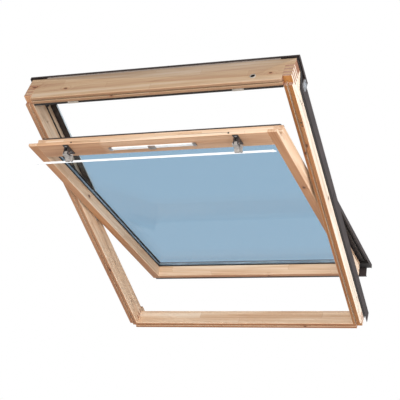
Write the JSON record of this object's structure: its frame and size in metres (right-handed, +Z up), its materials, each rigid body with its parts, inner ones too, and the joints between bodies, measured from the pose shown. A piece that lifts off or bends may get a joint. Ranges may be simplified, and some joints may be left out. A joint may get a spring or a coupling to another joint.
{
  "type": "roof window",
  "caption": "Centre-pivot pine roof window: comb-jointed frame with metal covers, pivoting glazed sash, and a control bar along the top of the sash.",
  "frame": {"origin": "middle of the bottom rail's lower (sill) face, halfway through the frame timber", "axes": "+X to the right seen from the room, +Z straight up, +Y out under the sky; the frame lies in a 41 degree roof that rises towards the room side, as it is installed"},
  "size_m": [0.7964, 0.9206, 0.7153],
  "materials": {
    "frame_pine": "clear matt varnish",
    "sash_pine": "clear matt varnish",
    "cover_paint": "matt paint",
    "screw_zinc": "zinc plated",
    "seal_rubber": "matt",
    "block_foam": "closed-cell foam",
    "end_plastic": "matt",
    "hinge_steel": "zinc plated",
    "clip_grey": "satin",
    "arm_grey": "satin paint",
    "bar_white": "satin paint",
    "cap_plastic": "satin",
    "spacer_metal": "satin",
    "pane_glass": "clear"
  },
  "bodies": {
    "frame": {"frame_top_rail": "frame_pine", "frame_bottom_rail": "frame_pine", "frame_left_jamb": "frame_pine", "frame_right_jamb": "frame_pine", "frame_gasket_left": "seal_rubber", "frame_gasket_right": "seal_rubber", "frame_top_seal": "seal_rubber", "seal_clips": "clip_grey", "latch_keep": "hinge_steel", "cable_grommet": "clip_grey", "side_seal_left": "seal_rubber", "side_seal_right": "seal_rubber", "upper_cover_left": "cover_paint", "upper_cover_right": "cover_paint", "lower_cover_left": "cover_paint", "lower_cover_right": "cover_paint", "top_hood": "cover_paint", "hood_block": "block_foam", "hood_ends": "end_plastic", "sill_cover": "cover_paint", "pivot_plate_left": "hinge_steel", "pivot_plate_right": "hinge_steel", "pivot_pins": "hinge_steel", "frame_plate_screws": "screw_zinc", "cover_screws": "screw_zinc"},
    "sash": {"sash_top_rail": "sash_pine", "sash_bottom_rail": "sash_pine", "sash_left_stile": "sash_pine", "sash_right_stile": "sash_pine", "glazing_gasket": "seal_rubber", "glass_inner": "pane_glass", "glass_spacer": "spacer_metal", "glass_outer": "pane_glass", "bead_left": "cover_paint", "bead_right": "cover_paint", "sash_top_cover": "cover_paint", "sash_bottom_cover": "cover_paint", "sash_cover_left": "cover_paint", "sash_cover_right": "cover_paint", "sash_side_seals": "seal_rubber", "sash_end_blocks": "seal_rubber", "sash_bottom_seal": "seal_rubber", "sash_plate_left": "hinge_steel", "sash_plate_right": "hinge_steel", "sash_plate_screws": "screw_zinc", "lock_strip": "bar_white", "lock_clips": "hinge_steel", "lock_case": "hinge_steel", "bar_bracket_left": "hinge_steel", "bar_bracket_right": "hinge_steel", "bracket_screws": "screw_zinc", "bar_pins": "hinge_steel"},
    "control_bar": {"control_bar": "bar_white", "bar_end_caps": "cap_plastic", "bar_arm_left": "arm_grey", "bar_arm_right": "arm_grey", "bar_feet": "seal_rubber"}
  },
  "joints": [
    {"name": "sash_pivot", "type": "hinge", "parent": "frame", "child": "sash", "pos_m": [0, -0.337, 0.3592], "axis": [1, 0, 0], "range_deg": [-19.5, 125]},
    {"name": "bar_pivot", "type": "hinge", "parent": "sash", "child": "control_bar", "pos_m": [0, -0.77018, 0.4546], "axis": [1, 0, 0], "range_deg": [-40, 2]}
  ]
}
